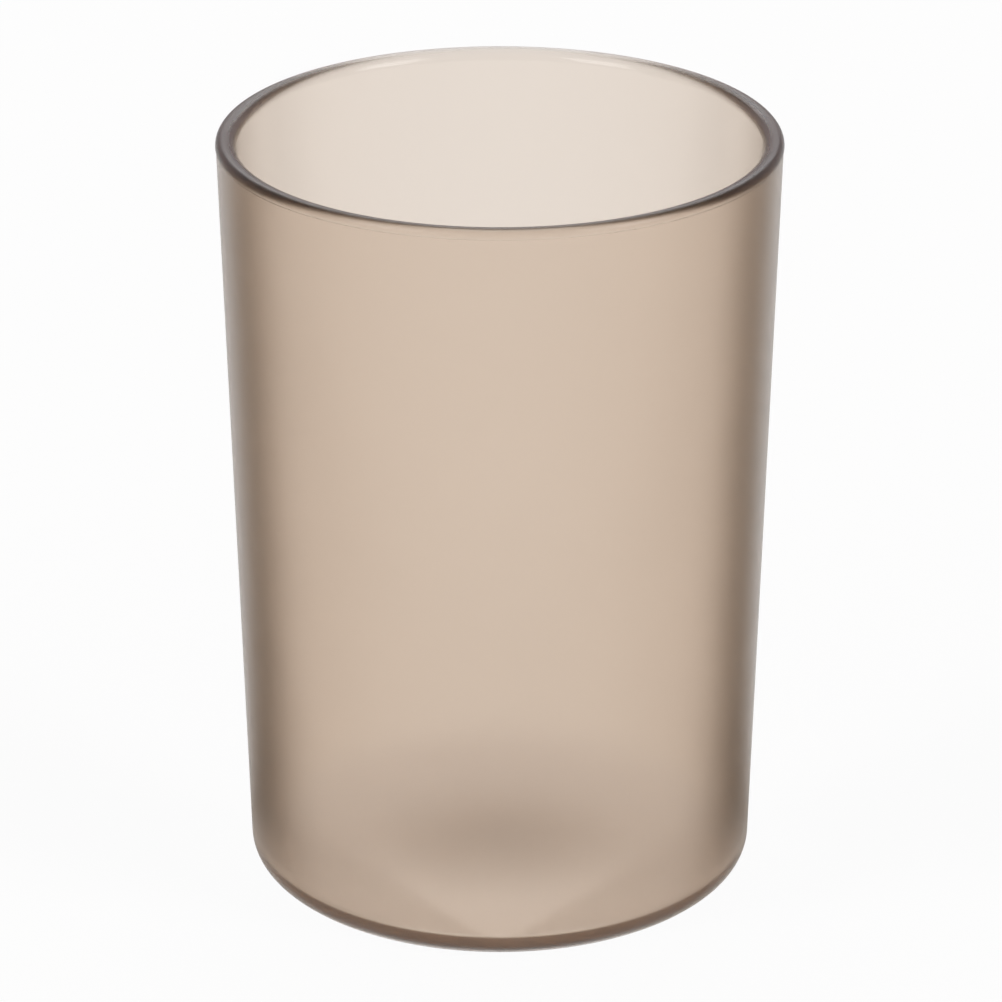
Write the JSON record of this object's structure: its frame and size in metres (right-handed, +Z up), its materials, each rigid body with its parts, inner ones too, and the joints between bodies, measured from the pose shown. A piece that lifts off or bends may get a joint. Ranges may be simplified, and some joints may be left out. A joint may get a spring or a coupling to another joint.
{
  "type": "bathroom tumbler",
  "caption": "Slightly tapered open tumbler in smoky translucent plastic, with a clear round rim, a satin coated outside wall and a slightly domed underside inside a standing ring.",
  "frame": {"origin": "centre of the standing ring on the underside, on the surface that the tumbler stands on", "axes": "+Z up along the tumbler's axis, towards the open rim; X and Y are free, because the part is round"},
  "size_m": [0.075, 0.075, 0.105],
  "materials": {
    "smoked_plastic": "polished clear plastic with a smoky beige tint",
    "satin_coat": "satin frosted, translucent"
  },
  "bodies": {
    "root": {"moulded_cup": "smoked_plastic", "satin_coat": "satin_coat"}
  },
  "joints": []
}
